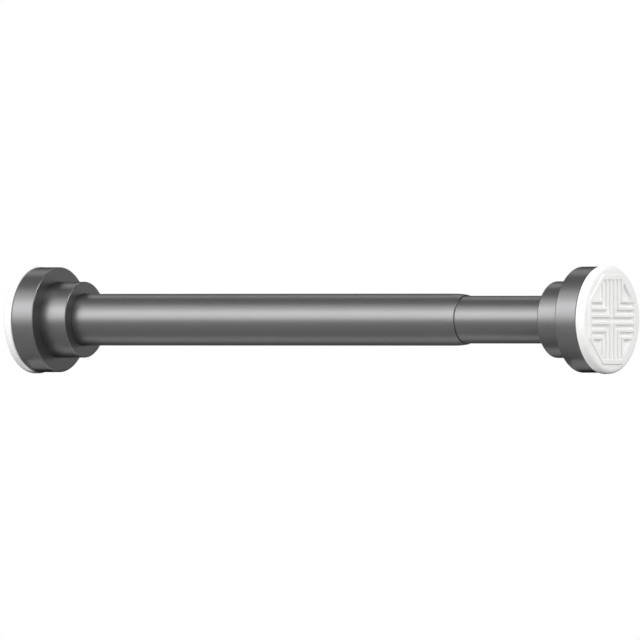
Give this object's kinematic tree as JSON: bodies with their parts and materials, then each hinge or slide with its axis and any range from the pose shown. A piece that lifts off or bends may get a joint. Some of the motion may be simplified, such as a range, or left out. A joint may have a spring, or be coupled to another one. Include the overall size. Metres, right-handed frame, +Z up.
{
  "type": "spring tension rod",
  "caption": "Telescoping spring-loaded tension rod with stepped round end caps and grooved rubber wall pads, held between two walls by pressure.",
  "frame": {"origin": "middle of the left wall pad's outer face", "axes": "+X along the rod from the left wall pad to the right one; +Z up with the rod level; the rod is round about X"},
  "size_m": [0.4255, 0.0666, 0.0666],
  "materials": {
    "tube_finish": "satin",
    "end_cap_plastic": "satin",
    "wall_pad_rubber": "matte",
    "plug_plastic": "matte",
    "lock_plastic": "matte",
    "zinc_plated_steel": "satin",
    "spring_steel": "satin"
  },
  "bodies": {
    "outer_rod": {"outer_tube": "tube_finish", "left_wall_pad": "wall_pad_rubber", "left_end_cap": "end_cap_plastic", "left_cap_screw": "zinc_plated_steel", "left_screw_washer": "zinc_plated_steel", "left_tube_plug": "plug_plastic"},
    "lock_carriage": {"lock_sleeve": "lock_plastic"},
    "cone": {"lock_cone": "lock_plastic"},
    "spindle": {"lock_spindle": "zinc_plated_steel", "thrust_washer": "zinc_plated_steel", "cone_stop_clip": "spring_steel", "tail_washer": "zinc_plated_steel", "tail_clip": "spring_steel", "compression_spring": "spring_steel"},
    "inner_rod": {"inner_tube": "tube_finish", "guide_bush": "lock_plastic", "spring_seat_washer": "zinc_plated_steel", "right_wall_pad": "wall_pad_rubber", "right_end_cap": "end_cap_plastic", "right_cap_screw": "zinc_plated_steel", "right_screw_washer": "zinc_plated_steel", "right_tube_plug": "plug_plastic"}
  },
  "joints": [
    {"name": "length_slide", "type": "slide", "parent": "outer_rod", "child": "lock_carriage", "axis": [1, 0, 0], "range_m": [-0.04, 0.136]},
    {"name": "twist", "type": "hinge", "parent": "lock_carriage", "child": "spindle", "pos_m": [0.0935, 0, 0], "axis": [1, 0, 0], "range_deg": [0, 360]},
    {"name": "cone_draw", "type": "slide", "parent": "lock_carriage", "child": "cone", "axis": [-1, 0, 0], "range_m": [0, 0.00305]},
    {"name": "spring_travel", "type": "slide", "parent": "spindle", "child": "inner_rod", "axis": [1, 0, 0], "range_m": [-0.025, 0], "stiffness_N_per_m": 4100, "springref_m": 0.021, "deforming": ["compression_spring"]}
  ],
  "couplings": [
    {"joint": "cone_draw", "follows": "twist", "m_per_rad": 0.00047746}
  ]
}
